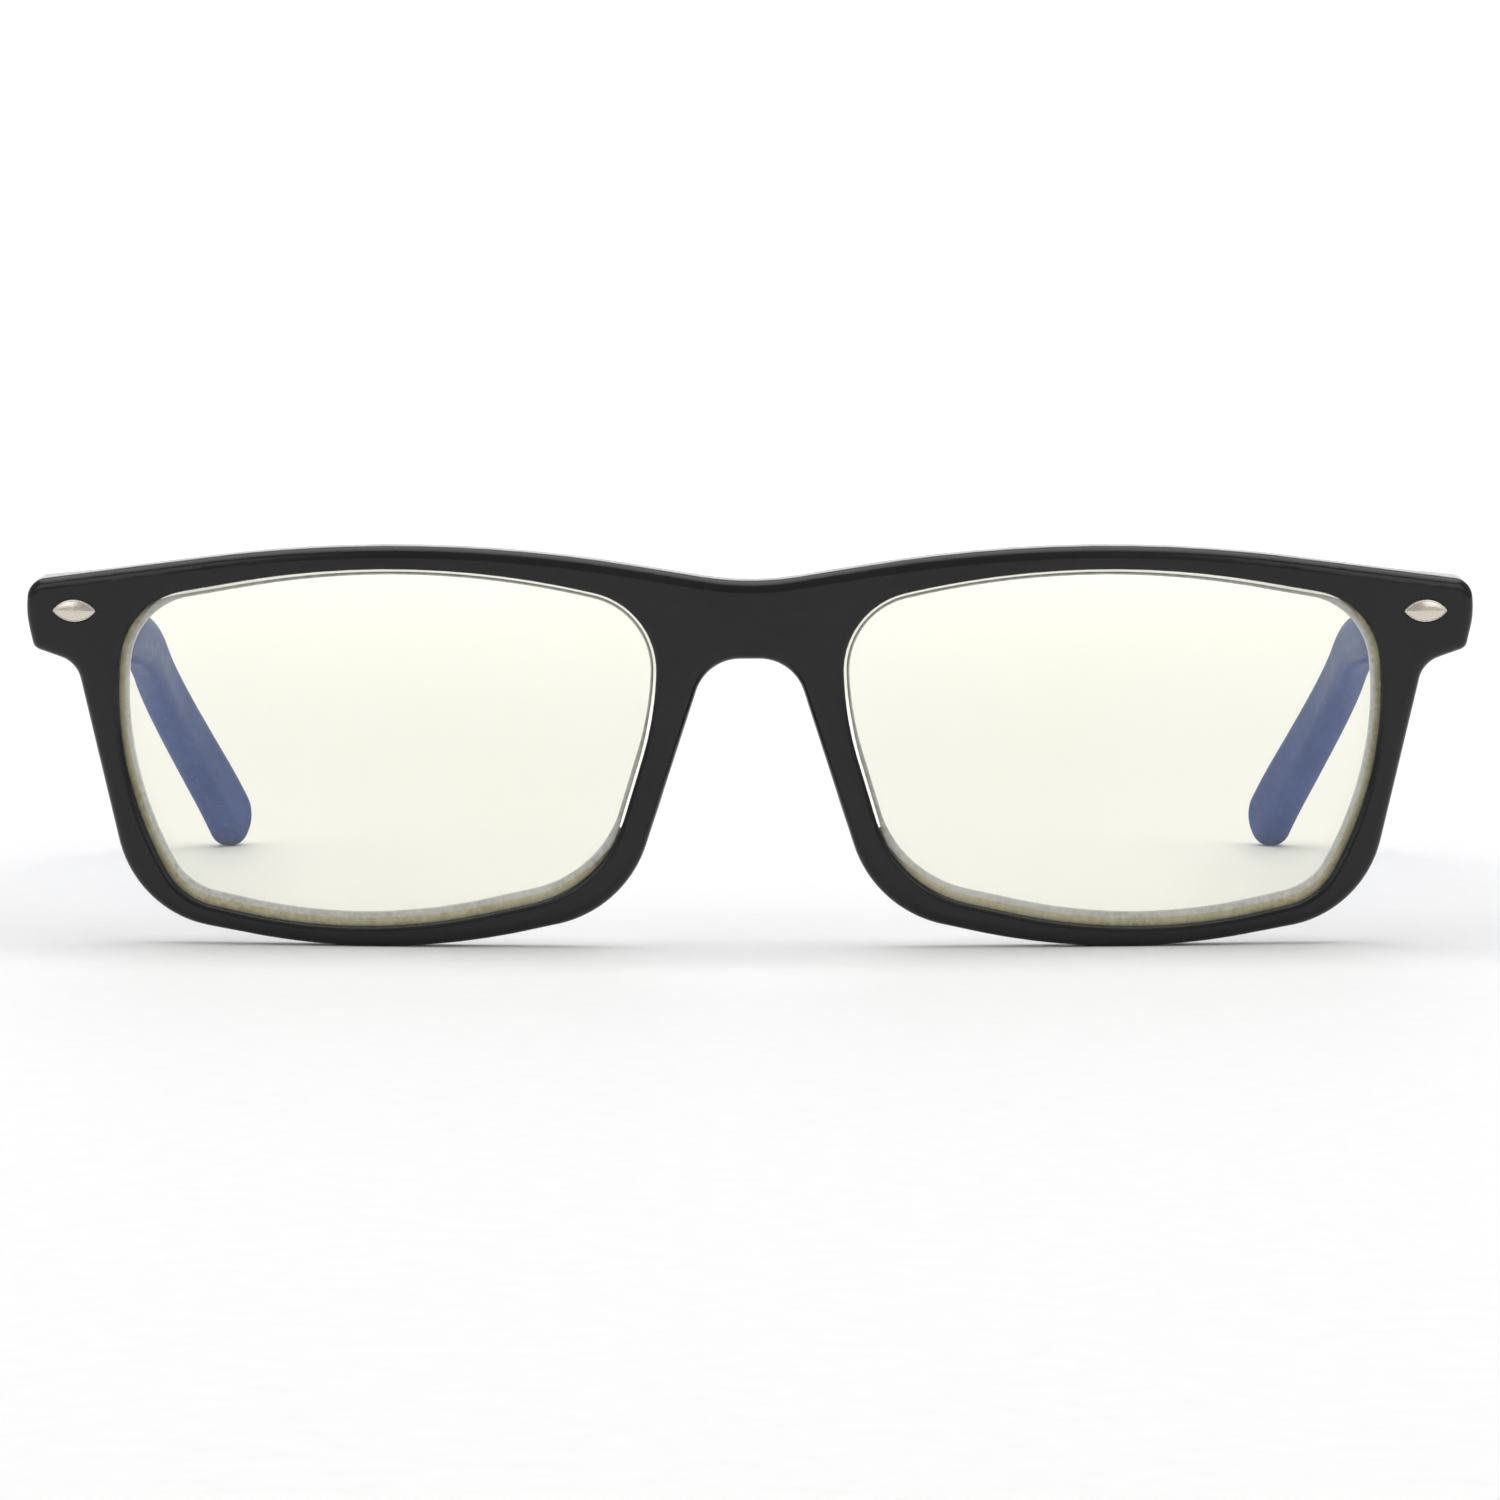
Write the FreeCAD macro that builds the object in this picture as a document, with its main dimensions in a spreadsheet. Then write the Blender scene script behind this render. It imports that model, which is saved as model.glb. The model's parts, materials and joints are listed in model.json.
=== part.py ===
"""Blue light glasses: a black front, two clear lenses and two blue spring-hinged temples.

Three frames are used, all in millimetres:
- the front's frame: x to the wearer's left, y backwards from the front, z up along the front;
- the hinge's frame: its origin on the left hinge pin, z along the pin, y along the temple;
- the part's frame: the glasses stand open on a table, on both rims and both temple tips.
Everything on the left is modelled once, and the right side is its mirror image.
"""
import FreeCAD, Part
import math
import os
from FreeCAD import Matrix, Placement, Rotation, Vector

SIZES = {
    # Front: the curved plate that the rims are cut from.
    "front_curve_radius": 300.0,
    "plate_thickness": 4.0,
    "front_edge_round": 1.1,
    "back_edge_round": 0.8,
    "rim_edge_round": 0.5,
    # Lenses, held in a groove behind the front lip of each rim.
    "lens_thickness": 2.0,
    "lip_thickness": 1.0,
    "groove_depth": 0.5,
    "groove_clearance": 0.03,
    # Moulded nose pads behind the nasal rims.
    "pad_length": 14.0,
    "pad_width": 2.7,
    "pad_reach": 4.6,
    "pad_centre_x": 9.75,
    "pad_centre_z": 14.0,
    "pad_sink": 0.6,
    "pad_lean": 17.0,
    # End pieces, and the pin of the left hinge in the front's frame.
    "hinge_x": 63.5,
    "hinge_y": 17.8,
    "hinge_z": 30.2,
    "front_tilt": 8.0,
    "butt_gap": 0.1,
    "outward_flex": 8.0,
    "end_piece_inner_x": 60.6,
    "end_piece_bottom": 27.0,
    "end_piece_slope": 13.0,
    "leaf_seat_depth": 2.2,
    # Decorative pins let into the end pieces.
    "pin_length": 4.33,
    "pin_height": 2.13,
    "pin_dome": 0.35,
    "pin_depth": 1.6,
    "pin_clearance": 0.08,
    "pin_x": 64.4,
    "pin_z": 31.35,
    # Hinge: two knuckles on the front leaf, one on the slider between them.
    "knuckle_radius": 1.3,
    "outer_knuckle_length": 1.35,
    "middle_knuckle_length": 2.3,
    "knuckle_clearance": 0.05,
    "leaf_width": 4.4,
    "leaf_length": 5.6,
    "leaf_thickness": 1.4,
    "stud_radius": 0.7,
    "stud_depth": 1.6,
    "stud_spacing": 3.0,
    "screw_radius": 0.65,
    "screw_clearance": 0.04,
    "screw_head_radius": 1.15,
    "screw_head_depth": 0.5,
    "screw_slot": 0.28,
    # Spring unit: a slider with a rod, drawn back by a coil spring inside a housing.
    "unit_centre": 0.675,
    "guide_width": 2.4,
    "guide_clearance": 0.05,
    "channel_clearance": 0.15,
    "guide_start": 1.6,
    "guide_end": 7.0,
    "neck_width": 1.7,
    "rod_radius": 0.5,
    "rod_end": 13.8,
    "bush_start": 7.4,
    "bush_length": 1.2,
    "bush_clearance": 0.06,
    "washer_radius": 1.15,
    "washer_length": 0.6,
    "spring_wire": 0.4,
    "spring_coil_radius": 0.95,
    "spring_turns": 6.0,
    "spring_clearance": 0.02,
    "housing_start": 2.9,
    "housing_end": 15.6,
    "housing_width": 3.65,
    "housing_height": 4.4,
    "housing_floor": 1.0,
    "housing_round": 0.6,
    # Temple, along y from the hinge pin: a straight bar, then an ear piece that curves down
    # by ear_angle about a corner at temple_bend, and leans inwards by ear_lean_angle. The bar
    # rises by bend_z on its way to that corner.
    "temple_inner_x": 1.45,
    "temple_outer_x": 5.5,
    "temple_height": 6.0,
    "temple_bend": 104.7,
    "bend_z": 0.8,
    "bend_radius": 74.0,
    "ear_angle": 41.0,
    "bend_height": 5.52,
    "ear_height": 6.9,
    "tip_y": 128.6,
    "tip_z": -19.7,
    "tip_upper_round": 3.28,
    "tip_lower_round": 2.93,
    "bend_inner_x": 0.7,
    "lean_y": 108.8,
    "lean_radius": 80.0,
    "ear_lean_angle": 19.5,
    "ear_thickness": 3.7,
    "temple_round": 1.6,
    # How far shapes that are fused into one piece run into each other.
    "overlap": 0.1,
}

# Cutting shapes start ahead of and below the glasses, and end behind, above and beside them.
AHEAD = -10.0
BEHIND = 50.0
BELOW = -20.0
ABOVE = 60.0
ASIDE = 100.0
# How closely a found place has to match, in millimetres, and the table's lean, in degrees.
NEAR = 0.01
LEAN_STEP = 0.0005
MOST_LEAN = 10.0

# Outline of the front's left half, from the middle of the brow to the middle of the bridge's
# underside: the corners of a polygon, each with the radius that rounds it.
FRONT_OUTLINE = (
    (0.0, 34.4, 27.7),
    (31.5, 39.44, 136.5),
    (68.85, 34.15, 2.0),
    (69.2, 31.0, 9.0),
    (68.4, 27.65, 1.0),
    (64.25, 26.3, 2.8),
    (58.7, 2.5, 10.6),
    (34.25, -1.6, 68.0),
    (11.85, 3.4, 11.4),
    (4.1, 27.35, 4.4),
)
# Outline of the left lens opening, in the same form.
LENS_OUTLINE = (
    (8.6, 32.2, 7.5),
    (31.85, 37.4, 83.5),
    (59.55, 32.3, 7.5),
    (60.9, 16.1, 34.5),
    (54.3, 3.9, 6.5),
    (36.8, 0.3, 55.5),
    (13.9, 5.5, 12.0),
    (9.05, 21.6, 32.0),
)

X_AXIS = Vector(1, 0, 0)
Y_AXIS = Vector(0, 1, 0)
Z_AXIS = Vector(0, 0, 1)

doc = FreeCAD.newDocument("glasses")


def make_sheet():
    """The driving sizes, one named cell each."""
    cells = doc.addObject("Spreadsheet::Sheet", "Size")
    for row, (name, value) in enumerate(SIZES.items(), start=1):
        cells.set(f"A{row}", name)
        cells.set(f"B{row}", f"{value:g}")
        cells.setAlias(f"B{row}", name)
    doc.recompute()
    return cells


sheet = make_sheet()


def size(name):
    """A driving size, read back from its cell."""
    return float(sheet.get(name))


# ---------------------------------------------------------------- placements

def hinge_placement():
    """From the hinge's frame to the front's frame: the temple slopes down from the front."""
    pin = Vector(size("hinge_x"), size("hinge_y"), size("hinge_z"))
    return Placement(pin, Rotation(X_AXIS, -size("front_tilt")))


# ------------------------------------------------------- sketch-like helpers

def rounded_wire(corners, level_y=0.0):
    """A closed wire in the x-z plane at level_y: a polygon with rounded corners."""
    points = [Vector(x, level_y, z) for x, z, _ in corners]
    arcs = []
    for index, (_, _, radius) in enumerate(corners):
        corner = points[index]
        if radius == 0:
            arcs.append((corner, corner, corner))
            continue
        back = (points[index - 1] - corner).normalize()
        ahead = (points[(index + 1) % len(points)] - corner).normalize()
        half_angle = back.getAngle(ahead) / 2
        reach = radius / math.tan(half_angle)
        middle = (back + ahead).normalize() * (radius / math.sin(half_angle) - radius)
        arcs.append((corner + back * reach, corner + middle, corner + ahead * reach))
    edges = []
    for index, arc in enumerate(arcs):
        if arc[0] != arc[2]:
            edges.append(Part.Arc(*arc).toShape())
        start = arc[2]
        end = arcs[(index + 1) % len(arcs)][0]
        if (end - start).Length > NEAR / 10:
            edges.append(Part.LineSegment(start, end).toShape())
    return Part.Wire(edges)


def mirrored_corners(half):
    """Add the mirror image of a half outline whose first corner is on the centre line."""
    return half + tuple((-x, z, radius) for x, z, radius in reversed(half[1:]))


def mirror_x(shape):
    """The right-hand twin of a left-hand shape."""
    return shape.mirror(Vector(), X_AXIS)


def block(low, high):
    """A box between two corners."""
    return Part.makeBox(high[0] - low[0], high[1] - low[1], high[2] - low[2], Vector(*low))


def shell_between(front_offset, back_offset):
    """The curved slab between two distances behind the front surface."""
    radius = size("front_curve_radius")
    base = Vector(0, radius, BELOW)
    outer = Part.makeCylinder(radius - front_offset, ABOVE - BELOW, base)
    inner = Part.makeCylinder(radius - back_offset, ABOVE - BELOW, base)
    window = block((-ASIDE, AHEAD, BELOW), (ASIDE, BEHIND, ABOVE))
    return outer.cut(inner).common(window)


def depth_behind_front(point):
    """How far a point lies behind the curved front surface."""
    radius = size("front_curve_radius")
    return radius - math.hypot(point.x, point.y - radius)


def through_depth(wire):
    """Extrude a wire that lies ahead of the front right through it."""
    return Part.Face(wire).extrude(Y_AXIS * (BEHIND - AHEAD))


# --------------------------------------------------------------- free shapes

def pin_prism(growth, depth, height):
    """An eye-shaped prism on the z axis, from -depth up to height."""
    half_length = size("pin_length") / 2 + growth
    half_height = size("pin_height") / 2 + growth
    side = (half_length ** 2 + half_height ** 2) / (2 * half_height)
    base = Vector(0, half_height - side, -depth)
    upper = Part.makeCylinder(side, depth + height, base)
    lower = upper.mirror(Vector(), Y_AXIS)
    return upper.common(lower)


def pin_placement():
    """Where the left decorative pin sits: its z axis is the normal of the front surface."""
    radius = size("front_curve_radius")
    turn = math.asin(size("pin_x") / radius)
    spot = Vector(size("pin_x"), radius * (1 - math.cos(turn)), size("pin_z"))
    facing = Rotation(Z_AXIS, math.degrees(turn)) * Rotation(X_AXIS, 90)
    return Placement(spot, facing)


def decorative_pin_shape():
    """A domed eye-shaped pin with a flat back."""
    length = size("pin_length")
    depth = size("pin_depth")
    dome = size("pin_dome")
    dome_radius = (length ** 2 / 4 + dome ** 2) / (2 * dome)
    ball = Part.makeSphere(dome_radius, Vector(0, 0, dome - dome_radius))
    cap = ball.common(block((-length, -length, 0), (length, length, length)))
    skirt = Part.makeCylinder(length / 2, depth, Vector(0, 0, -depth))
    return pin_prism(0, depth, length).common(skirt.fuse(cap)).removeSplitter()


def nose_pad_shape():
    """The left moulded pad: a long ellipsoid that follows the nasal rim and reaches back."""
    stretch = Matrix()
    stretch.scale(size("pad_width") / 2, size("pad_reach"), size("pad_length") / 2)
    pad = Part.makeSphere(1).transformGeometry(stretch)
    x = size("pad_centre_x")
    radius = size("front_curve_radius")
    back = radius - math.sqrt((radius - size("plate_thickness")) ** 2 - x ** 2)
    pad.Placement = Placement(
        Vector(x, back - size("pad_sink"), size("pad_centre_z")),
        Rotation(Y_AXIS, -size("pad_lean")),
    )
    return pad


def end_piece_shape(outline_solid):
    """The left end piece: the outline carried back from inside the plate to the hinge."""
    room = hinge_room()
    room.Placement = hinge_placement()
    behind = shell_between(size("plate_thickness") / 2, size("hinge_y") * 2)
    corner = block(
        (size("end_piece_inner_x"), AHEAD, size("end_piece_bottom")),
        (ASIDE, BEHIND, ABOVE),
    )
    return outline_solid.common(behind).common(corner).cut([room, end_piece_slope()])


def end_piece_slope():
    """The room above the left end piece, which slopes down to the top of the temple."""
    room = block((-ASIDE, -ASIDE, 0), (ASIDE, ASIDE, ASIDE))
    temple_top = hinge_placement().multVec(Vector(0, 0, size("temple_height") / 2))
    room.Placement = Placement(temple_top, Rotation(X_AXIS, -size("end_piece_slope")))
    return room


def hinge_room():
    """What the left end piece leaves free behind it, in the hinge's frame.

    The end piece's back face and the temple's front face both slope away from the joint between
    them, by half of outward_flex each, so that the temple can open that much further.
    """
    gap = size("butt_gap") / 2
    inner = size("temple_inner_x")
    seat = -size("leaf_seat_depth")
    behind = block((-ASIDE, -gap, -ASIDE), (ASIDE, ASIDE, ASIDE))
    behind.Placement = Placement(Vector(), Rotation(Z_AXIS, -size("outward_flex") / 2))
    beside = block((-ASIDE, seat, -ASIDE), (inner, ASIDE, ASIDE))
    return behind.fuse(beside)


def edges_at_depth(shape, depth):
    """The edges that run along the curved surface at this depth behind the front."""
    found = []
    for edge in shape.Edges:
        first, last = edge.ParameterRange
        points = [edge.valueAt(value) for value in (first, (first + last) / 2, last)]
        if all(abs(depth_behind_front(point) - depth) < NEAR for point in points):
            found.append(edge)
    return found


def lens_opening(growth):
    """The left lens opening as a wire, grown outwards by an even amount."""
    wire = rounded_wire(LENS_OUTLINE, AHEAD)
    if growth:
        wire = wire.makeOffset2D(growth)
    return wire


def front_frame_shape():
    """The black front: curved plate, end pieces, lens openings with grooves, and nose pads."""
    outline_solid = through_depth(rounded_wire(mirrored_corners(FRONT_OUTLINE), AHEAD))
    thickness = size("plate_thickness")
    plate = outline_solid.common(shell_between(0, thickness))
    plate = plate.makeFillet(size("front_edge_round"), edges_at_depth(plate, 0))
    plate = plate.makeFillet(size("back_edge_round"), edges_at_depth(plate, thickness))
    end_piece = end_piece_shape(outline_solid)
    body = plate.fuse([end_piece, mirror_x(end_piece)]).removeSplitter()
    opening = through_depth(lens_opening(0))
    body = body.cut([opening, mirror_x(opening)])
    body = body.makeFillet(size("rim_edge_round"), edges_at_depth(body, 0))
    pad = nose_pad_shape().common(shell_between(size("lip_thickness"), 2 * size("hinge_y")))
    body = body.fuse([pad, mirror_x(pad)])
    clearance = size("groove_clearance")
    groove = through_depth(lens_opening(size("groove_depth") + clearance)).common(
        shell_between(
            size("lip_thickness") - clearance,
            size("lip_thickness") + size("lens_thickness") + clearance,
        )
    )
    pin_seat = pin_prism(size("pin_clearance"), size("pin_depth"), thickness)
    pin_seat.Placement = pin_placement()
    leaf_seat = leaf_base_shape()
    leaf_seat.Placement = hinge_placement()
    cuts = [groove, pin_seat, leaf_seat]
    return body.cut(cuts + [mirror_x(cut) for cut in cuts])


def leaf_base_shape():
    """The part of the left hinge leaf that is sunk in the end piece, in the hinge's frame."""
    seat = -size("leaf_seat_depth")
    thickness = size("leaf_thickness")
    half_width = size("leaf_width") / 2
    half_length = size("leaf_length") / 2
    overlap = size("overlap")
    plate = block(
        (-half_width, seat - thickness, -half_length),
        (size("temple_inner_x"), seat, half_length),
    )
    studs = [
        Part.makeCylinder(
            size("stud_radius"),
            size("stud_depth") + overlap,
            Vector(0, seat - thickness + overlap, side * size("stud_spacing") / 2),
            Y_AXIS * -1,
        )
        for side in (-1, 1)
    ]
    return plate.fuse(studs)


def lens_shape():
    """The left lens: a curved plate that fills the opening and its groove."""
    slab = shell_between(
        size("lip_thickness"), size("lip_thickness") + size("lens_thickness")
    )
    return through_depth(lens_opening(size("groove_depth"))).common(slab)


def temple_side_view():
    """The left temple's side view, as a wire in the hinge's y-z plane, to its left."""
    start = size("butt_gap") / 2
    butt = size("temple_height") / 2
    waist = size("bend_height") / 2
    half = size("ear_height") / 2
    drop = math.radians(size("ear_angle"))
    bend = size("temple_bend")
    rise = size("bend_z")
    curve = size("bend_radius")
    shift = waist * math.tan(drop / 2)
    tip = Vector(size("tip_y"), size("tip_z"), 0)
    across = Vector(math.sin(drop), math.cos(drop), 0) * half
    upper_tip = tip + across
    lower_tip = tip - across
    corners = (
        (start, -butt, 0),
        (bend - shift, rise - waist, curve - half),
        (lower_tip.x, lower_tip.y, size("tip_lower_round")),
        (upper_tip.x, upper_tip.y, size("tip_upper_round")),
        (bend + shift, rise + waist, curve + half),
        (start, butt, 0),
    )
    wire = rounded_wire(corners)
    wire.Placement = Placement(Vector(-ASIDE, 0, 0), Rotation(Z_AXIS, 90))
    return wire


def temple_plan_view():
    """The left temple's plan, as a wire in a level plane below it."""
    inner = size("temple_inner_x")
    outer = size("temple_outer_x")
    gap = size("butt_gap") / 2
    slope = math.tan(math.radians(size("outward_flex") / 2))
    lean = math.radians(size("ear_lean_angle"))
    lean_start = size("lean_y")
    curve = size("lean_radius")
    thickness = size("ear_thickness")
    bend_inner = size("bend_inner_x")
    end = size("tip_y") + size("ear_height")
    end_inner = bend_inner - (end - lean_start) * math.tan(lean)
    corners = (
        (inner, gap + inner * slope, 0),
        (bend_inner, lean_start, curve),
        (end_inner, end, 0),
        (end_inner + thickness / math.cos(lean), end, 0),
        (bend_inner + thickness, lean_start, curve + thickness),
        (outer, gap + outer * slope, 0),
    )
    wire = rounded_wire(corners)
    wire.Placement = Placement(Vector(0, 0, -ASIDE), Rotation(X_AXIS, -90))
    return wire


def temple_shape():
    """The left temple: what its side view and its plan share, with rounded long edges."""
    side = Part.Face(temple_side_view()).extrude(X_AXIS * 2 * ASIDE)
    plan = Part.Face(temple_plan_view()).extrude(Z_AXIS * 2 * ASIDE)
    body = side.common(plan)
    long_edges = [edge for edge in body.Edges if edge.BoundBox.YMax > size("temple_height")]
    body = body.makeFillet(size("temple_round"), long_edges)
    return body.cut([housing_block(), guide_channel()])


def guide_channel():
    """The slot ahead of the housing that the slider's guide block passes through."""
    centre = size("unit_centre")
    half = size("guide_width") / 2 + size("channel_clearance")
    return block((centre - half, -size("overlap"), -half), (centre + half, size("housing_start"), half))


def housing_block():
    """The outer block of the spring unit's housing, with its rear corners rounded."""
    centre = size("unit_centre")
    half_width = size("housing_width") / 2
    half_height = size("housing_height") / 2
    body = block(
        (centre - half_width, size("housing_start"), -half_height),
        (centre + half_width, size("housing_end"), half_height),
    )
    inner_edges = [
        edge for edge in body.Edges if edge.BoundBox.XMax < centre - half_width + NEAR
    ]
    return body.makeFillet(size("housing_round"), inner_edges)


# ------------------------------------------- pieces built from bound solids

def bind(obj, properties):
    """Tie properties of an object to expressions over the sheet's cells."""
    for path, expression in properties.items():
        obj.setExpression(path, expression)
    return obj


def bound_box(name, low, lengths):
    """A box with its low corner and its three lengths given as expressions."""
    box = doc.addObject("Part::Box", name)
    corner = {f"Placement.Base.{axis}": text for axis, text in zip("xyz", low)}
    sides = dict(zip(("Length", "Width", "Height"), lengths))
    return bind(box, {**corner, **sides})


def bound_cylinder(name, base, radius, length, along_temple=False):
    """A cylinder on the pin's direction, or along the temple, given as expressions."""
    cylinder = doc.addObject("Part::Cylinder", name)
    if along_temple:
        cylinder.Placement = Placement(Vector(), Rotation(X_AXIS, -90))
    start = {f"Placement.Base.{axis}": text for axis, text in zip("xyz", base)}
    return bind(cylinder, {**start, "Radius": radius, "Height": length})


def fused(name, pieces):
    union = doc.addObject("Part::MultiFuse", name)
    union.Shapes = pieces
    return union


def cut_from(name, base, tool):
    difference = doc.addObject("Part::Cut", name)
    difference.Base = base
    difference.Tool = tool
    return difference


def hinge_leaf():
    """The front leaf: a base sunk in the end piece, two studs, and two knuckles on arms."""
    base = bound_box(
        "LeafBase",
        ("-Size.leaf_width / 2", "-Size.leaf_seat_depth - Size.leaf_thickness",
         "-Size.leaf_length / 2"),
        ("Size.leaf_width / 2 + Size.temple_inner_x", "Size.leaf_thickness", "Size.leaf_length"),
    )
    pieces = [base]
    inner_end = "Size.middle_knuckle_length / 2 + Size.knuckle_clearance"
    lows = {
        "Top": inner_end,
        "Bottom": f"-({inner_end}) - Size.outer_knuckle_length",
    }
    for where, low in lows.items():
        side = "1" if where == "Top" else "-1"
        pieces += [
            bound_cylinder(
                f"Leaf{where}Knuckle", ("0", "0", low),
                "Size.knuckle_radius", "Size.outer_knuckle_length",
            ),
            bound_box(
                f"Leaf{where}Arm",
                ("-Size.knuckle_radius", "-Size.leaf_seat_depth", low),
                ("2 * Size.knuckle_radius", "Size.leaf_seat_depth", "Size.outer_knuckle_length"),
            ),
            bound_cylinder(
                f"Leaf{where}Stud",
                ("0", "-Size.leaf_seat_depth - Size.leaf_thickness - Size.stud_depth",
                 f"{side} * Size.stud_spacing / 2"),
                "Size.stud_radius", "Size.stud_depth + Size.overlap", along_temple=True,
            ),
        ]
    return cut_from("HingeLeaf", fused("LeafBody", pieces), screw_bore("LeafBore"))


def screw_bore(name):
    """The hole that the hinge screw turns in, through all three knuckles."""
    return bound_cylinder(
        name, ("0", "0", "-Size.leaf_length"),
        "Size.screw_radius + Size.screw_clearance", "2 * Size.leaf_length",
    )


def hinge_screw():
    """The hinge screw: a shank through the knuckles and a slotted head on top of them."""
    top = ("Size.middle_knuckle_length / 2 + Size.outer_knuckle_length"
           " + 2 * Size.knuckle_clearance")
    shank = bound_cylinder(
        "ScrewShank", ("0", "0", f"-({top})"), "Size.screw_radius", f"2 * ({top})"
    )
    head = bound_cylinder(
        "ScrewHead", ("0", "0", top), "Size.screw_head_radius", "Size.screw_head_depth"
    )
    slot = bound_box(
        "ScrewSlot",
        ("-2 * Size.screw_head_radius", "-Size.screw_slot / 2",
         f"{top} + Size.screw_head_depth - Size.screw_slot"),
        ("4 * Size.screw_head_radius", "Size.screw_slot", "Size.screw_head_depth"),
    )
    return cut_from("HingeScrew", fused("ScrewBody", [shank, head]), slot)


def hinge_slider():
    """The sliding half of the hinge: the middle knuckle, its guide block and its rod."""
    pieces = [
        bound_cylinder(
            "SliderKnuckle", ("0", "0", "-Size.middle_knuckle_length / 2"),
            "Size.knuckle_radius", "Size.middle_knuckle_length",
        ),
        bound_box(
            "SliderNeck",
            ("Size.unit_centre - Size.guide_width / 2", "0", "-Size.middle_knuckle_length / 2"),
            ("Size.neck_width", "Size.guide_start + Size.overlap", "Size.middle_knuckle_length"),
        ),
        bound_box(
            "SliderGuide",
            ("Size.unit_centre - Size.guide_width / 2", "Size.guide_start",
             "-Size.guide_width / 2"),
            ("Size.guide_width", "Size.guide_end - Size.guide_start", "Size.guide_width"),
        ),
        bound_cylinder(
            "SliderRod", ("Size.unit_centre", "Size.guide_end - Size.overlap", "0"),
            "Size.rod_radius", "Size.rod_end - Size.guide_end + Size.overlap",
            along_temple=True,
        ),
    ]
    return cut_from("HingeSlider", fused("SliderBody", pieces), screw_bore("SliderBore"))


def stop_bush():
    """The square bush fixed in the housing, which the spring pushes against."""
    width = "Size.guide_width + 2 * Size.guide_clearance"
    body = bound_box(
        "BushBody",
        (f"Size.unit_centre - ({width}) / 2", "Size.bush_start", f"-({width}) / 2"),
        (width, "Size.bush_length", width),
    )
    hole = bound_cylinder(
        "BushHole", ("Size.unit_centre", "Size.bush_start - Size.bush_length", "0"),
        "Size.rod_radius + Size.bush_clearance", "3 * Size.bush_length", along_temple=True,
    )
    return cut_from("StopBush", body, hole)


def spring_washer():
    """The washer on the rod's end, which carries the spring's other end."""
    start = "Size.rod_end - Size.washer_length"
    body = bound_cylinder(
        "WasherBody", ("Size.unit_centre", start, "0"),
        "Size.washer_radius", "Size.washer_length", along_temple=True,
    )
    hole = bound_cylinder(
        "WasherHole", ("Size.unit_centre", f"{start} - Size.washer_length", "0"),
        "Size.rod_radius", "3 * Size.washer_length", along_temple=True,
    )
    return cut_from("SpringWasher", body, hole)


def spring():
    """The coil spring on the rod, between the bush and the washer."""
    wire = size("spring_wire")
    inset = wire / 2 + size("spring_clearance")
    start = size("bush_start") + size("bush_length") + inset
    end = size("rod_end") - size("washer_length") - inset
    coil = size("spring_coil_radius")
    length = end - start
    helix = Part.makeHelix(length / size("spring_turns"), length, coil)
    helix.Placement = Placement(Vector(size("unit_centre"), start, 0), Rotation(X_AXIS, -90))
    wire_centre = Vector(size("unit_centre") + coil, start, 0)
    section = Part.Wire(Part.makeCircle(wire / 2, wire_centre, Z_AXIS))
    shape = Part.Wire(helix.Edges).makePipeShell([section], True, True)
    return free_shape("Spring", shape)


def spring_housing():
    """The metal housing sunk in the temple's inner face, bored square from its front."""
    width = "Size.guide_width + 2 * Size.guide_clearance"
    bore = bound_box(
        "HousingBore",
        (f"Size.unit_centre - ({width}) / 2", "Size.housing_start - Size.housing_floor",
         f"-({width}) / 2"),
        (width, "Size.housing_end - Size.housing_start", width),
    )
    return cut_from("SpringHousing", free_shape("HousingBlock", housing_block()), bore)


def free_shape(name, shape):
    """A document object that holds a shape made with Part's own functions."""
    feature = doc.addObject("Part::Feature", name)
    feature.Shape = shape.Solids[0]
    return feature


# ------------------------------------------------------------ the whole part

def build_left_pieces():
    """Every piece that has a twin: its name without its side, its object and its seat."""
    front = Placement()
    hinge = hinge_placement()
    return [
        ("lens", free_shape("Lens", lens_shape()), front),
        ("decorative_pin", free_shape("DecorativePin", decorative_pin_shape()), pin_placement()),
        ("hinge_leaf", hinge_leaf(), hinge),
        ("hinge_screw", hinge_screw(), hinge),
        ("hinge_slider", hinge_slider(), hinge),
        ("stop_bush", stop_bush(), hinge),
        ("spring", spring(), hinge),
        ("spring_washer", spring_washer(), hinge),
        ("spring_housing", spring_housing(), hinge),
        ("temple", free_shape("Temple", temple_shape()), hinge),
    ]


def table_placement(frame, temple):
    """Lean the front until both rims and both temple tips touch the table, z = 0."""
    hinge = hinge_placement()
    low, high = 0.0, MOST_LEAN
    while high - low > LEAN_STEP:
        lean = Placement(Vector(), Rotation(X_AXIS, (low + high) / 2))
        rim = placed(frame, lean).optimalBoundingBox()
        tip = placed(temple, lean * hinge).optimalBoundingBox()
        if tip.ZMin < rim.ZMin:
            low = (low + high) / 2
        else:
            high = (low + high) / 2
    middle = (rim.YMin + tip.YMax) / 2
    return Placement(Vector(0, -middle, -min(rim.ZMin, tip.ZMin)), lean.Rotation)


def placed(shape, placement):
    """A copy of a shape in another place."""
    copy = shape.copy()
    copy.Placement = placement
    return copy


def mirrored_twin(name, source):
    """The right-hand piece: the mirror image of the left one."""
    twin = doc.addObject("Part::Mirroring", name)
    twin.Source = source
    twin.Normal = X_AXIS
    return twin


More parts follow.
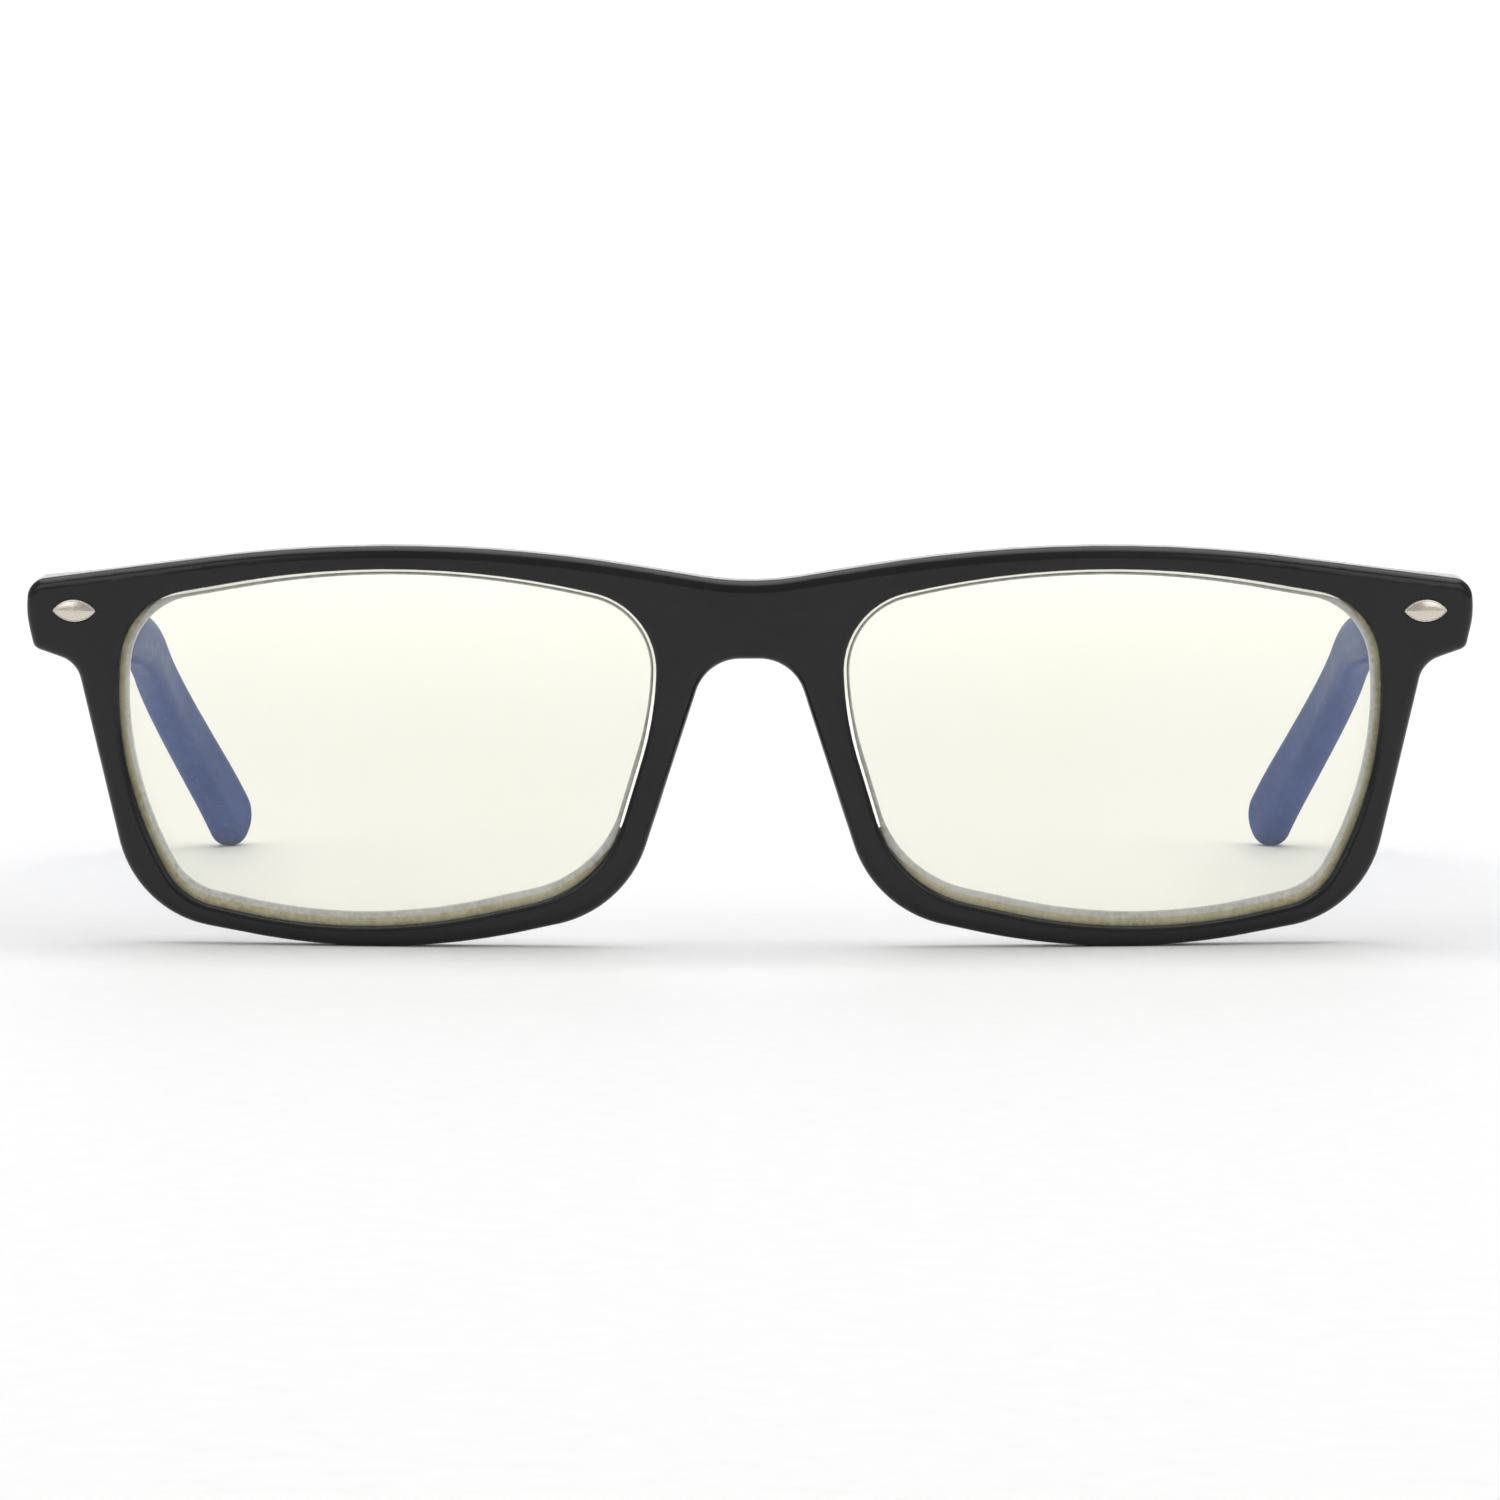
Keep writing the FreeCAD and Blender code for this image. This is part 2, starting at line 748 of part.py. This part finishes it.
def build():
    """Make every piece, label it with its node's name, and stand the glasses on the table."""
    frame = free_shape("FrontFrame", front_frame_shape())
    frame.Label = "front_frame"
    nodes = [frame]
    left_pieces = build_left_pieces()
    doc.recompute()
    temple = next(piece for name, piece, _ in left_pieces if name == "temple")
    table = table_placement(frame.Shape, temple.Shape)
    frame.Placement = table
    for name, piece, seat in left_pieces:
        piece.Placement = table * seat
        piece.Label = f"left_{name}"
        twin = mirrored_twin(f"Right{piece.Name}", piece)
        twin.Label = f"right_{name}"
        nodes += [piece, twin]
    doc.recompute()
    return nodes


def check(nodes):
    """Stop if any object failed, or if a piece isn't one or more valid solids."""
    for obj in doc.Objects:
        if "Invalid" in obj.State or "Error" in obj.State:
            raise RuntimeError(f"{obj.Label} failed: {obj.State}")
    for node in nodes:
        shape = node.Shape
        if shape.isNull() or not shape.isValid() or not shape.Solids:
            raise RuntimeError(f"{node.Label} isn't a valid solid")


def main():
    nodes = build()
    check(nodes)
    os.makedirs("parts", exist_ok=True)
    for node in nodes:
        node.Shape.exportStep(f"parts/{node.Label}.step")
        box = node.Shape.optimalBoundingBox()
        print(
            f"{node.Label:22} {node.Shape.Volume:9.2f} mm3  solids {len(node.Shape.Solids)}"
            f"  x {box.XMin:.2f}..{box.XMax:.2f}  y {box.YMin:.2f}..{box.YMax:.2f}"
            f"  z {box.ZMin:.2f}..{box.ZMax:.2f}"
        )


main()
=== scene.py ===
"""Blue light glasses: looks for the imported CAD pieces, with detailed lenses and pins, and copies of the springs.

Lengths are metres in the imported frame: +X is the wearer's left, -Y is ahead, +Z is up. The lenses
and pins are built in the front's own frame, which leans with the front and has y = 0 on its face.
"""

import json
import math

import bmesh
import bpy
from mathutils import Matrix, Vector


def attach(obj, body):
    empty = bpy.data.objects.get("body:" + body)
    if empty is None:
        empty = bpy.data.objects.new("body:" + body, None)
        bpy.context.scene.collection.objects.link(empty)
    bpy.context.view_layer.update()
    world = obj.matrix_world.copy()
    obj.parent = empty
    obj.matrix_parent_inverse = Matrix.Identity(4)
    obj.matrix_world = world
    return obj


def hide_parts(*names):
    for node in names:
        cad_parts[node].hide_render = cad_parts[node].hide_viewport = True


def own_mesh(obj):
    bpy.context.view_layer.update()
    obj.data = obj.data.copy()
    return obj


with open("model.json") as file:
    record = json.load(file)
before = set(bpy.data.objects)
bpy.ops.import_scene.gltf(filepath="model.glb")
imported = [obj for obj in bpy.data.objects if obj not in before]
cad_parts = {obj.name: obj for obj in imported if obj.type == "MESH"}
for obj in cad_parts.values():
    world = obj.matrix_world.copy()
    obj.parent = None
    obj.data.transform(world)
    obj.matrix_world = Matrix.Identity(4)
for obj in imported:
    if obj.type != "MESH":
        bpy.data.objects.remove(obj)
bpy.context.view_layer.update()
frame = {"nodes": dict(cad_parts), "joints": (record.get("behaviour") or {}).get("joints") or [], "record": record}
NODES = frame["nodes"]
MM = 0.001

# ---------------------------------------------------------------- camera

CAMERA_PLACE = Vector((0.0, -0.7128, 0.0552))
CAMERA_PITCH_DOWN = math.radians(3.24)
CAMERA_LENS_MM = 163.1
CAMERA_SENSOR_MM = 36.0
CAMERA_REACH = 50.0


def make_camera():
    data = bpy.data.cameras.new("camera")
    data.lens = CAMERA_LENS_MM
    data.sensor_width = CAMERA_SENSOR_MM
    data.clip_end = CAMERA_REACH
    camera = bpy.data.objects.new("camera", data)
    camera.location = CAMERA_PLACE
    camera.rotation_euler = (math.radians(90) - CAMERA_PITCH_DOWN, 0, 0)
    bpy.context.scene.collection.objects.link(camera)
    bpy.context.scene.camera = camera


# ---------------------------------------------------------------- node helpers

class Nodes:
    """A material's node tree, with its Principled shader at hand."""

    def __init__(self, name, settings):
        self.material = bpy.data.materials.new(name)
        self.material.use_nodes = True
        self.tree = self.material.node_tree
        self.shader = self.tree.nodes["Principled BSDF"]
        for socket, value in settings.items():
            self.shader.inputs[socket].default_value = value
        self.place = self.add("ShaderNodeTexCoord").outputs["Object"]

    def add(self, kind, **settings):
        node = self.tree.nodes.new(kind)
        for name, value in settings.items():
            setattr(node, name, value)
        return node

    def link(self, output, node, socket):
        self.tree.links.new(output, node.inputs[socket])

    def noise(self, scale, detail=2.0, roughness=0.5, stretch=None):
        """A noise texture over the piece: scale is features per metre."""
        node = self.add("ShaderNodeTexNoise")
        node.inputs["Scale"].default_value = scale
        node.inputs["Detail"].default_value = detail
        node.inputs["Roughness"].default_value = roughness
        place = self.place
        if stretch:
            mapping = self.add("ShaderNodeMapping")
            mapping.inputs["Scale"].default_value = stretch
            self.link(place, mapping, "Vector")
            place = mapping.outputs["Vector"]
        self.link(place, node, "Vector")
        return node.outputs["Fac"]

    def remap(self, value, low, high, out_low, out_high):
        """A value moved from one range to another, and kept in it."""
        node = self.add("ShaderNodeMapRange")
        self.link(value, node, "Value")
        for socket, number in (
            ("From Min", low), ("From Max", high), ("To Min", out_low), ("To Max", out_high)
        ):
            node.inputs[socket].default_value = number
        return node.outputs["Result"]

    def blend(self, factor, first, second):
        """A colour between two others; either may be a colour or another node's output."""
        node = self.add("ShaderNodeMix", data_type="RGBA")
        self.link(factor, node, 0)
        for index, colour in ((6, first), (7, second)):
            if isinstance(colour, tuple):
                node.inputs[index].default_value = (*colour, 1.0)
            else:
                self.link(colour, node, index)
        return node.outputs[2]

    def bump(self, height, distance, strength, below=None):
        node = self.add("ShaderNodeBump")
        node.inputs["Distance"].default_value = distance
        node.inputs["Strength"].default_value = strength
        self.link(height, node, "Height")
        if below:
            self.link(below, node, "Normal")
        return node.outputs["Normal"]

    def finish(self, colour=None, roughness=None, normal=None):
        for output, socket in (
            (colour, "Base Color"), (roughness, "Roughness"), (normal, "Normal")
        ):
            if output:
                self.link(output, self.shader, socket)
        return self.material


# ---------------------------------------------------------------- materials

def black_front():
    """Polished black plastic: slightly wavy, with fine hairlines from polishing."""
    nodes = Nodes("black_front", {"IOR": 1.42})
    haze = nodes.noise(90, detail=3)
    black, worn = (0.0035, 0.0035, 0.0038), (0.0060, 0.0060, 0.0062)
    colour = nodes.blend(nodes.remap(haze, 0.3, 0.7, 0, 1), black, worn)
    hairlines = nodes.noise(900, detail=4, roughness=0.7, stretch=(0.25, 1, 1))
    roughness = nodes.remap(hairlines, 0.3, 0.75, 0.17, 0.27)
    waves = nodes.bump(nodes.noise(160, detail=1), 0.04 * MM, 0.35)
    normal = nodes.bump(hairlines, 0.01 * MM, 0.12, waves)
    return nodes.finish(colour, roughness, normal)


FLAKES_PER_METRE = 3600


def blue_temple():
    """Solid slate-blue plastic with fine glitter in it."""
    nodes = Nodes("blue_temple", {"IOR": 1.25, "Specular IOR Level": 0.1})
    cloud = nodes.remap(nodes.noise(220, detail=4, roughness=0.6), 0.3, 0.7, 0, 1)
    deep, light, glitter = (0.029, 0.061, 0.220), (0.042, 0.084, 0.288), (0.17, 0.22, 0.42)
    blue = nodes.blend(cloud, deep, light)
    flakes = nodes.add("ShaderNodeTexVoronoi")
    flakes.inputs["Scale"].default_value = FLAKES_PER_METRE
    nodes.link(nodes.place, flakes, "Vector")
    spread = nodes.add("ShaderNodeSeparateColor")
    nodes.link(flakes.outputs["Color"], spread, "Color")
    chosen = nodes.remap(spread.outputs["Red"], 0.86, 0.90, 0, 1)
    core = nodes.remap(flakes.outputs["Distance"], 0.25, 0.42, 1, 0)
    glint = nodes.add("ShaderNodeMath", operation="MULTIPLY")
    nodes.link(chosen, glint, 0)
    nodes.link(core, glint, 1)
    colour = nodes.blend(glint.outputs[0], blue, glitter)
    roughness = nodes.remap(nodes.noise(1500, detail=3), 0.3, 0.7, 0.34, 0.48)
    waves = nodes.bump(nodes.noise(260, detail=2), 0.05 * MM, 0.4)
    return nodes.finish(colour, roughness, waves)


DULL_SHARE = 0.82


def brushed_metal(name, colour, roughness, along):
    """Plated or drawn metal with fine lines; an axis under 1 in along draws them out that way."""
    nodes = Nodes(name, {"Metallic": 1.0})
    lines = nodes.noise(5200, detail=5, roughness=0.65, stretch=along)
    dull = tuple(part * DULL_SHARE for part in colour)
    shade = nodes.blend(nodes.remap(lines, 0.3, 0.7, 0, 1), dull, colour)
    rough = nodes.remap(lines, 0.25, 0.75, roughness * 0.75, roughness * 1.3)
    normal = nodes.bump(lines, 0.006 * MM, 0.3)
    return nodes.finish(shade, rough, normal)


def lens_glass():
    """Clear lens plastic with a pale yellow filter tint."""
    nodes = Nodes("lens_clear", {"Transmission Weight": 1.0, "IOR": 1.5, "Roughness": 0.0})
    film = nodes.remap(nodes.noise(45, detail=2), 0.3, 0.7, 0, 1)
    colour = nodes.blend(film, (0.900, 0.900, 0.795), (0.912, 0.912, 0.812))
    return nodes.finish(colour)


def frosted_edge(name, dark, light):
    """The lens's ground edge: frosted, and tinted where light comes through the plastic."""
    nodes = Nodes(name, {"IOR": 1.45, "Specular IOR Level": 0.3})
    streaks = nodes.noise(1400, detail=4, roughness=0.7)
    patches = nodes.noise(120, detail=2)
    streaked = nodes.blend(nodes.remap(streaks, 0.35, 0.65, 0, 1), dark, light)
    colour = nodes.blend(nodes.remap(patches, 0.35, 0.65, 0, 0.6), streaked, light)
    roughness = nodes.remap(streaks, 0.3, 0.7, 0.45, 0.7)
    return nodes.finish(colour, roughness, nodes.bump(streaks, 0.03 * MM, 0.5))


def painted_highlight_edge():
    """A painted highlight: near-white lines on the rounded inner rim of the lens's edge bevel, coloured as the
    light they catch.
    """
    nodes = Nodes("lens_painted_highlight_edge", {"IOR": 1.5})
    streaks = nodes.noise(900, detail=3)
    # cream and white paint a highlight on the bevel's lines; they are not the plastic's own colour
    cream, white = (0.80, 0.79, 0.74), (0.95, 0.95, 0.92)
    colour = nodes.blend(nodes.remap(streaks, 0.3, 0.7, 0, 1), cream, white)
    return nodes.finish(colour, nodes.remap(streaks, 0.3, 0.7, 0.12, 0.22))


def make_materials():
    grey, olive = ((0.58, 0.57, 0.52), (0.82, 0.81, 0.75)), ((0.52, 0.47, 0.28), (0.80, 0.74, 0.50))
    even, lengthwise, upright = (1, 1, 1), (1, 0.04, 1), (1, 1, 0.1)
    return {
        "black_front": black_front(),
        "blue_temple": blue_temple(),
        "clear_lens": lens_glass(),
        "ground_edge": frosted_edge("lens_ground_edge", *grey),
        "olive_edge": frosted_edge("lens_olive_edge", *olive),
        # near-white lines on the lens bevel: a painted highlight
        "painted_highlight_edge": painted_highlight_edge(),
        "polished_pin": brushed_metal("polished_pin", (0.74, 0.68, 0.59), 0.26, even),
        "hinge_metal": brushed_metal("hinge_metal", (0.72, 0.72, 0.71), 0.30, lengthwise),
        "screw_steel": brushed_metal("screw_steel", (0.60, 0.60, 0.61), 0.26, upright),
        "spring_steel": brushed_metal("spring_steel", (0.50, 0.50, 0.52), 0.28, even),
        "bush_brass": brushed_metal("bush_brass", (0.75, 0.56, 0.26), 0.27, upright),
    }


def dress(materials):
    """Give every CAD node the material of its slot in the record."""
    for subpart in frame["record"]["subparts"]:
        mesh = NODES[subpart["node"]].data
        mesh.materials.clear()
        mesh.materials.append(materials[subpart["material_slot"]])


# ---------------------------------------------------------------- the front's own frame

FRONT_CURVE_RADIUS = 300.0 * MM
FRONT_TILT = math.radians(8.0)
HINGE_PIN = Vector((63.5, 17.8, 30.2)) * MM


def joint_named(name):
    return next(joint for joint in frame["joints"] if joint["name"] == name)


def front_to_part():
    """From the front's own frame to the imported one, found from the left fold joint."""
    fold = joint_named("left_fold")
    axis = Vector(fold["axis"])
    turn = Matrix.Rotation(FRONT_TILT - math.atan2(axis.y, axis.z), 4, "X")
    return Matrix.Translation(Vector(fold["pos_m"]) - turn @ HINGE_PIN) @ turn


def behind_face(spot, depth):
    """The point of the front at (x, z) on the curved surface this deep behind its face."""
    radius = FRONT_CURVE_RADIUS
    return Vector((spot.x, radius - math.sqrt((radius - depth) ** 2 - spot.x ** 2), spot.y))


# ---------------------------------------------------------------- outlines and loops

def rounded_outline(corners, step):
    """Points round a polygon with rounded corners, each with the outward direction there."""
    points = [Vector((x, z)) * MM for x, z, _ in corners]
    samples = []
    for index, (_, _, radius) in enumerate(corners):
        radius *= MM
        corner = points[index]
        back = (points[index - 1] - corner).normalized()
        ahead = (points[(index + 1) % len(points)] - corner).normalized()
        half_angle = back.angle(ahead) / 2
        reach = radius / math.tan(half_angle)
        centre = corner + (back + ahead).normalized() * (radius / math.sin(half_angle))
        first = (corner + back * reach - centre).normalized()
        last = (corner + ahead * reach - centre).normalized()
        count = math.ceil(radius * (math.pi - 2 * half_angle) / step)
        for turn in range(count + 1):
            outward = first.slerp(last, turn / count)
            samples.append((centre + outward * radius, outward))
    return filled(samples, step)


def filled(samples, step):
    """The same closed line with its gaps filled in, and with no point twice."""
    result = []
    for index, (spot, outward) in enumerate(samples):
        following = samples[(index + 1) % len(samples)][0]
        gap = (following - spot).length
        count = math.ceil(gap / step) if gap > step / 20 else 0
        result += [(spot.lerp(following, part / count), outward) for part in range(count)]
    return result


SHARP_ANGLE = math.radians(24)


def mesh_from_loops(name, loops, ends, materials, choose):
    """A closed mesh: a point, loops of equally many points, and another point.

    choose(band, index) gives the number of the material on a face: band 0 is before the first
    loop, and index counts along the loop.
    """
    count = len(loops[0])
    points = [point for loop in loops for point in loop] + list(ends)
    first_end, last_end = len(points) - 2, len(points) - 1
    faces, chosen = [], []
    for index in range(count):
        after = (index + 1) % count
        faces.append((first_end, index, after))
        chosen.append(choose(0, index))
        for band in range(len(loops) - 1):
            low, high = band * count, (band + 1) * count
            faces.append((low + index, high + index, high + after, low + after))
            chosen.append(choose(band + 1, index))
        low = (len(loops) - 1) * count
        faces.append((low + index, last_end, low + after))
        chosen.append(choose(len(loops), index))
    mesh = bpy.data.meshes.new(name)
    mesh.from_pydata(points, [], faces)
    for material in materials:
        mesh.materials.append(material)
    mesh.polygons.foreach_set("material_index", chosen)
    work = bmesh.new()
    work.from_mesh(mesh)
    bmesh.ops.recalc_face_normals(work, faces=work.faces)
    for face in work.faces:
        face.smooth = True
    for edge in work.edges:
        first, second = edge.link_faces
        same = first.material_index == second.material_index
        edge.smooth = same and edge.calc_face_angle() < SHARP_ANGLE
    work.to_mesh(mesh)
    work.free()
    piece = bpy.data.objects.new(name, mesh)
    bpy.context.scene.collection.objects.link(piece)
    return piece


def seat(piece, place, node):
    """Put a piece in its place on the front, where it stands for a CAD node."""
    piece.matrix_world = front_to_part() @ place
    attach(piece, "front")
    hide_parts(node)


# ---------------------------------------------------------------- lenses

# Outline of the left lens opening in the front's frame, in millimetres: the corners of a
# polygon, each with the radius that rounds it.
LENS_OUTLINE = (
    (8.6, 32.2, 7.5),
    (31.85, 37.4, 83.5),
    (59.55, 32.3, 7.5),
    (60.9, 16.1, 34.5),
    (54.3, 3.9, 6.5),
    (36.8, 0.3, 55.5),
    (13.9, 5.5, 12.0),
    (9.05, 21.6, 32.0),
)
LENS_CENTRE = Vector((34.5, 19.0)) * MM
LENS_STEP = 0.6 * MM
GROOVE_DEPTH = 0.5 * MM
LENS_FRONT = 1.02 * MM
LENS_BACK = 2.98 * MM
LENS_SHRINKS = (0.12, 0.3, 0.5, 0.7, 0.86, 0.96)
INNER_LINE_WIDTH = 0.13 * MM
CLEAR_FROM = 0.15
# The bevel's inner line is painted near-white as a highlight on the lower and outer sides, past the first value
# below.
PAINTED_HIGHLIGHT_FROM = -0.3
GLASS, GROUND, OLIVE, PAINTED_HIGHLIGHT = 0, 1, 2, 3


def bevel_width(outward):
    """How wide the ground bevel shows inside the rim: widest below, then on the outer side."""
    outer, below = max(0, outward.x), max(0, -outward.y)
    return (0.52 + 0.50 * outer + 0.88 * below ** 1.5) * MM


def clearness(outward):
    """Above 0 on the upper and nasal sides; above CLEAR_FROM the bevel's outer line is clear."""
    return outward.y - outward.x - 0.35


def outer_line_width(outward):
    """Half of the bevel, and next to nothing where clearness passes 0."""
    return min(0.5, 0.03 + abs(clearness(outward))) * bevel_width(outward)


def lens(side, materials):
    """A lens whose ground bevel shows as a frosted ring inside the rim, with near-white lines painted on it as a
    highlight.
    """
    outline = rounded_outline(LENS_OUTLINE, LENS_STEP)
    mirror = Matrix.Scale(-1, 4, (1, 0, 0)) if side == "right" else Matrix.Identity(4)

    def loop(inset, depth, shrink=1.0):
        line = []
        for spot, outward in outline:
            inner = spot - outward * inset(outward)
            line.append(mirror @ behind_face(LENS_CENTRE.lerp(inner, shrink), depth))
        return line

    def fixed(distance):
        return lambda outward: distance

    loops = [loop(bevel_width, LENS_FRONT, shrink) for shrink in LENS_SHRINKS]
    loops += [
        loop(bevel_width, LENS_FRONT),
        loop(lambda outward: bevel_width(outward) - INNER_LINE_WIDTH, LENS_FRONT + 0.05 * MM),
        loop(outer_line_width, LENS_FRONT + 0.20 * MM),
        loop(fixed(0), LENS_FRONT + 0.35 * MM),
        loop(fixed(-GROOVE_DEPTH), LENS_FRONT + 0.55 * MM),
        loop(fixed(-GROOVE_DEPTH), LENS_BACK - 0.4 * MM),
        loop(fixed(0), LENS_BACK),
    ]
    loops += [loop(fixed(0), LENS_BACK, shrink) for shrink in reversed(LENS_SHRINKS)]
    front_bands = len(LENS_SHRINKS)
    inner_line, outer_line, edge_end = (front_bands + offset for offset in (1, 3, 6))

    def choose(band, index):
        outward = outline[index][1]
        if band <= front_bands or band > edge_end:
            return GLASS
        # the inner line is painted near-white as a highlight on the lower and outer sides
        if band == inner_line and outward.x - outward.y > PAINTED_HIGHLIGHT_FROM:
            return PAINTED_HIGHLIGHT
        if band == outer_line:
            return GLASS if clearness(outward) > CLEAR_FROM else OLIVE
        return GROUND

    ends = [mirror @ behind_face(LENS_CENTRE, depth) for depth in (LENS_FRONT, LENS_BACK)]
    surfaces = [
        materials[name] for name in ("clear_lens", "ground_edge", "olive_edge", "painted_highlight_edge")
    ]
    piece = mesh_from_loops(f"{side}_lens_ground", loops, ends, surfaces, choose)
    seat(piece, Matrix.Identity(4), f"{side}_lens")


# ---------------------------------------------------------------- decorative pins

PIN_SPOT = Vector((64.4, 31.35)) * MM
PIN_STEP = 0.12 * MM

# A pin's outline about its middle, in the form of the lens outline, and its heights over the
# front's face, all in millimetres.
PIN_OUTLINE = ((2.2, 0.0, 0.2), (0.0, 2.35, 2.75), (-2.2, 0.0, 0.2), (0.0, -2.35, 2.75))
PIN_FOOT = -1.6
PIN_FOOT_CHAMFER = 0.1
PIN_RIM_HEIGHT = 0.08
PIN_RIM_WIDTH = 0.15
PIN_DOME = 0.20


def decorative_pin(side, material):
    """A pin with an eye-shaped outline, a rounded rim and a domed face."""
    outline = rounded_outline(PIN_OUTLINE, PIN_STEP)

    def loop(inset, height, shrink=1.0):
        line = []
        for spot, outward in outline:
            inner = (spot - outward * inset * MM) * shrink
            line.append(Vector((inner.x, inner.y, height * MM)))
        return line

    foot = [
        loop(0.06, PIN_FOOT, 0.4),
        loop(0.06, PIN_FOOT),
        loop(0.0, PIN_FOOT + PIN_FOOT_CHAMFER),
    ]
    rim = [
        loop(0.0, 0.0),
        loop(0.03, 0.05),
        loop(0.09, PIN_RIM_HEIGHT),
        loop(PIN_RIM_WIDTH, PIN_RIM_HEIGHT - 0.01),
    ]
    dome = [
        loop(PIN_RIM_WIDTH, PIN_RIM_HEIGHT + PIN_DOME * (1 - shrink ** 2), shrink)
        for shrink in (0.97, 0.9, 0.8, 0.65, 0.5, 0.35, 0.2, 0.08)
    ]
    loops = foot + rim + dome
    ends = [
        Vector((0, 0, height * MM)) for height in (PIN_FOOT, PIN_RIM_HEIGHT + PIN_DOME)
    ]
    piece = mesh_from_loops(f"{side}_pin_domed", loops, ends, [material], lambda band, index: 0)
    sign = -1 if side == "right" else 1
    spot = Vector((sign * PIN_SPOT.x, PIN_SPOT.y))
    turn = math.asin(spot.x / FRONT_CURVE_RADIUS)
    place = Matrix.Translation(behind_face(spot, 0.0)) @ Matrix.Rotation(turn, 4, "Z")
    facing = Matrix.Rotation(math.radians(90), 4, "X")
    seat(piece, place @ facing, f"{side}_decorative_pin")


# ---------------------------------------------------------------- springs

def sliding_spring(side):
    """A copy of the CAD spring, carried by the arm in place of the CAD node."""
    node = NODES[f"{side}_spring"]
    piece = bpy.data.objects.new(f"{side}_spring_coil", node.data.copy())
    piece.matrix_world = node.matrix_world
    bpy.context.scene.collection.objects.link(piece)
    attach(piece, f"{side}_arm")
    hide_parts(f"{side}_spring")
    slide = joint_named(f"{side}_spring_slide")
    along = Vector(slide["axis"]).normalized()
    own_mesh(piece)


# ---------------------------------------------------------------- studio

def make_floor():
    """A white sweep: a floor that curves up into a backdrop far behind."""
    half_width, ahead, behind, height, radius = 4.0, -3.0, 3.0, 3.0, 1.0
    profile = [(ahead, 0.0)]
    steps = 24
    for step in range(steps + 1):
        turn = math.pi / 2 * step / steps
        profile.append((behind + radius * math.sin(turn), radius * (1 - math.cos(turn))))
    profile.append((behind + radius, height))
    points = [(side * half_width, y, z) for y, z in profile for side in (-1, 1)]
    faces = [(2 * i, 2 * i + 1, 2 * i + 3, 2 * i + 2) for i in range(len(profile) - 1)]
    mesh = bpy.data.meshes.new("floor")
    mesh.from_pydata(points, [], faces)
    mesh.shade_smooth()
    floor = bpy.data.objects.new("floor", mesh)
    bpy.context.scene.collection.objects.link(floor)
    nodes = Nodes("floor_paper", {"Roughness": 0.6, "Specular IOR Level": 0.2})
    grain = nodes.remap(nodes.noise(400, detail=3), 0.3, 0.7, 0, 1)
    mesh.materials.append(nodes.finish(nodes.blend(grain, (0.88, 0.88, 0.88), (0.90, 0.90, 0.90))))


def area_light(name, place, target, width, height, power):
    data = bpy.data.lights.new(name, "AREA")
    data.shape = "RECTANGLE"
    data.size = width
    data.size_y = height
    data.energy = power
    light = bpy.data.objects.new(name, data)
    light.location = place
    facing = Vector(target) - Vector(place)
    light.rotation_euler = facing.to_track_quat("-Z", "Y").to_euler()
    bpy.context.scene.collection.objects.link(light)


WORLD_STRENGTH = 0.44


def make_light():
    scene = bpy.context.scene
    scene.view_settings.view_transform = "Standard"
    world = bpy.data.worlds.new("studio")
    world.use_nodes = True
    background = world.node_tree.nodes["Background"]
    background.inputs["Color"].default_value = (1.0, 1.0, 1.0, 1.0)
    background.inputs["Strength"].default_value = WORLD_STRENGTH
    scene.world = world
    area_light("overhead", (0, 0.2, 1.6), (0, 0, 0), 2.4, 1.6, 21)
    area_light("front_left", (-1.2, -1.2, 0.9), (0, 0, 0), 1.0, 1.0, 4)
    area_light("front_right", (1.2, -1.2, 0.9), (0, 0, 0), 1.0, 1.0, 4)
    area_light("backdrop_left", (-1.6, 1.8, 1.4), (0, 4.0, 0.8), 1.6, 1.6, 50)
    area_light("backdrop_right", (1.6, 1.8, 1.4), (0, 4.0, 0.8), 1.6, 1.6, 50)


make_camera()
make_floor()
make_light()
materials = make_materials()
dress(materials)
for side in ("left", "right"):
    lens(side, materials)
    decorative_pin(side, materials["polished_pin"])
    sliding_spring(side)
